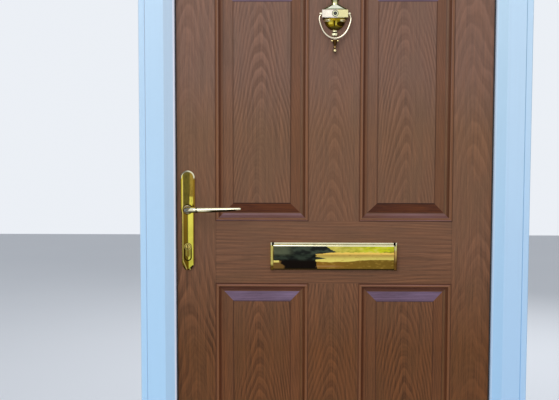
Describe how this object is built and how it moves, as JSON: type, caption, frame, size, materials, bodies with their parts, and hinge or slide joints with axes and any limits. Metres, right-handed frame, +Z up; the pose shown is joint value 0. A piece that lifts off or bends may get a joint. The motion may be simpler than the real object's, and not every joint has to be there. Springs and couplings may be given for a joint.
{
  "type": "panelled front door",
  "caption": "Moulded panel door leaf in a chamfered frame, opening inwards, with lever handle, multipoint lock, letterplate and urn knocker.",
  "frame": {"origin": "centre of the threshold's underside: middle of the door's width and of the frame's depth", "axes": "+X to the right seen from outside, +Y indoors, +Z up; the outside face looks along -Y"},
  "size_m": [0.946, 0.1826, 2.078],
  "materials": {
    "white_upvc": "satin white",
    "oak_skin": "brown stained oak grain, satin",
    "foam": "rigid foam",
    "timber": "laminated timber",
    "galvanised_steel": "galvanised",
    "lock_steel": "zinc plated",
    "gold_brass": "polished",
    "hinge_white": "white paint",
    "threshold_aluminium": "mill",
    "seal_rubber": "matt black",
    "lens_glass": "clear"
  },
  "bodies": {
    "frame": {"lock_jamb": "white_upvc", "hinge_jamb": "white_upvc", "head_rail": "white_upvc", "left_extender": "white_upvc", "right_extender": "white_upvc", "threshold": "threshold_aluminium", "lock_jamb_steel": "galvanised_steel", "hinge_jamb_steel": "galvanised_steel", "head_steel": "galvanised_steel", "frame_gasket": "seal_rubber", "upper_keep": "lock_steel", "centre_keep": "lock_steel", "lower_keep": "lock_steel", "top_hinge_base": "hinge_white", "middle_hinge_base": "hinge_white", "bottom_hinge_base": "hinge_white", "hinge_pins": "lock_steel", "frame_screws": "lock_steel"},
    "leaf": {"outer_skin": "oak_skin", "inner_skin": "oak_skin", "foam_core": "foam", "lock_stile": "timber", "hinge_stile": "timber", "top_rail": "timber", "bottom_rail": "timber", "bottom_seal": "seal_rubber", "faceplate": "lock_steel", "gearbox_case": "lock_steel", "upper_hook_case": "lock_steel", "lower_hook_case": "lock_steel", "cylinder_body": "gold_brass", "outer_backplate": "gold_brass", "inner_backplate": "gold_brass", "through_bolts": "lock_steel", "letterplate_frame": "gold_brass", "letterplate_inner_frame": "gold_brass", "letter_sleeve": "threshold_aluminium", "knocker_body": "gold_brass", "striker": "gold_brass", "viewer_barrel": "gold_brass", "viewer_lens": "lens_glass", "viewer_eyepiece": "gold_brass", "top_hinge_flag": "hinge_white", "middle_hinge_flag": "hinge_white", "bottom_hinge_flag": "hinge_white", "leaf_screws": "lock_steel"},
    "levers": {"outer_lever": "gold_brass", "inner_lever": "gold_brass", "spindle": "lock_steel", "follower": "lock_steel"},
    "latch": {"latch": "lock_steel"},
    "deadbolt": {"deadbolt": "lock_steel"},
    "drive_bar": {"drive_bar": "lock_steel"},
    "upper_hook": {"upper_hook": "lock_steel"},
    "lower_hook": {"lower_hook": "lock_steel"},
    "cylinder_plug": {"cylinder_plug": "gold_brass"},
    "outer_flap": {"outer_flap": "gold_brass"},
    "inner_flap": {"inner_flap": "gold_brass"},
    "knocker_ring": {"knocker_ring": "gold_brass"}
  },
  "joints": [
    {"name": "door_swing", "type": "hinge", "parent": "frame", "child": "leaf", "pos_m": [0.406, 0.044, 1.024], "axis": [0, 0, -1], "range_deg": [0, 100]},
    {"name": "lever_turn", "type": "hinge", "parent": "leaf", "child": "levers", "pos_m": [-0.358, 0.013, 1.044], "axis": [0, 1, 0], "range_deg": [-40, 40], "stiffness_Nm_per_rad": 8, "springref_deg": -1.89},
    {"name": "latch_slide", "type": "slide", "parent": "leaf", "child": "latch", "axis": [-1, 0, 0], "range_m": [0, 0.012]},
    {"name": "bar_slide", "type": "slide", "parent": "leaf", "child": "drive_bar", "axis": [0, 0, 1], "range_m": [0, 0.02]},
    {"name": "lower_hook_turn", "type": "hinge", "parent": "leaf", "child": "lower_hook", "pos_m": [-0.386, 0.013, 0.404], "axis": [0, 1, 0], "range_deg": [0, 90]},
    {"name": "upper_hook_turn", "type": "hinge", "parent": "leaf", "child": "upper_hook", "pos_m": [-0.386, 0.013, 1.684], "axis": [0, 1, 0], "range_deg": [0, 90]},
    {"name": "deadbolt_slide", "type": "slide", "parent": "leaf", "child": "deadbolt", "axis": [-1, 0, 0], "range_m": [0, 0.02]},
    {"name": "key_turn", "type": "hinge", "parent": "leaf", "child": "cylinder_plug", "pos_m": [-0.358, 0.013, 0.952], "axis": [0, 1, 0], "range_deg": [0, 360]},
    {"name": "outer_flap_swing", "type": "hinge", "parent": "leaf", "child": "outer_flap", "pos_m": [0, -0.0155, 0.9549], "axis": [-1, 0, 0], "range_deg": [0, 85], "stiffness_Nm_per_rad": 0.25, "springref_deg": -28.65},
    {"name": "inner_flap_swing", "type": "hinge", "parent": "leaf", "child": "inner_flap", "pos_m": [0, 0.0415, 0.9549], "axis": [1, 0, 0], "range_deg": [0, 85], "stiffness_Nm_per_rad": 0.25, "springref_deg": -28.65},
    {"name": "knocker_swing", "type": "hinge", "parent": "leaf", "child": "knocker_ring", "pos_m": [0, -0.021, 1.517], "axis": [-1, 0, 0], "range_deg": [0, 100]}
  ],
  "couplings": [
    {"joint": "lower_hook_turn", "follows": "bar_slide", "rad_per_m": 78.535},
    {"joint": "upper_hook_turn", "follows": "bar_slide", "rad_per_m": 78.535},
    {"joint": "deadbolt_slide", "follows": "bar_slide", "ratio": 1}
  ]
}
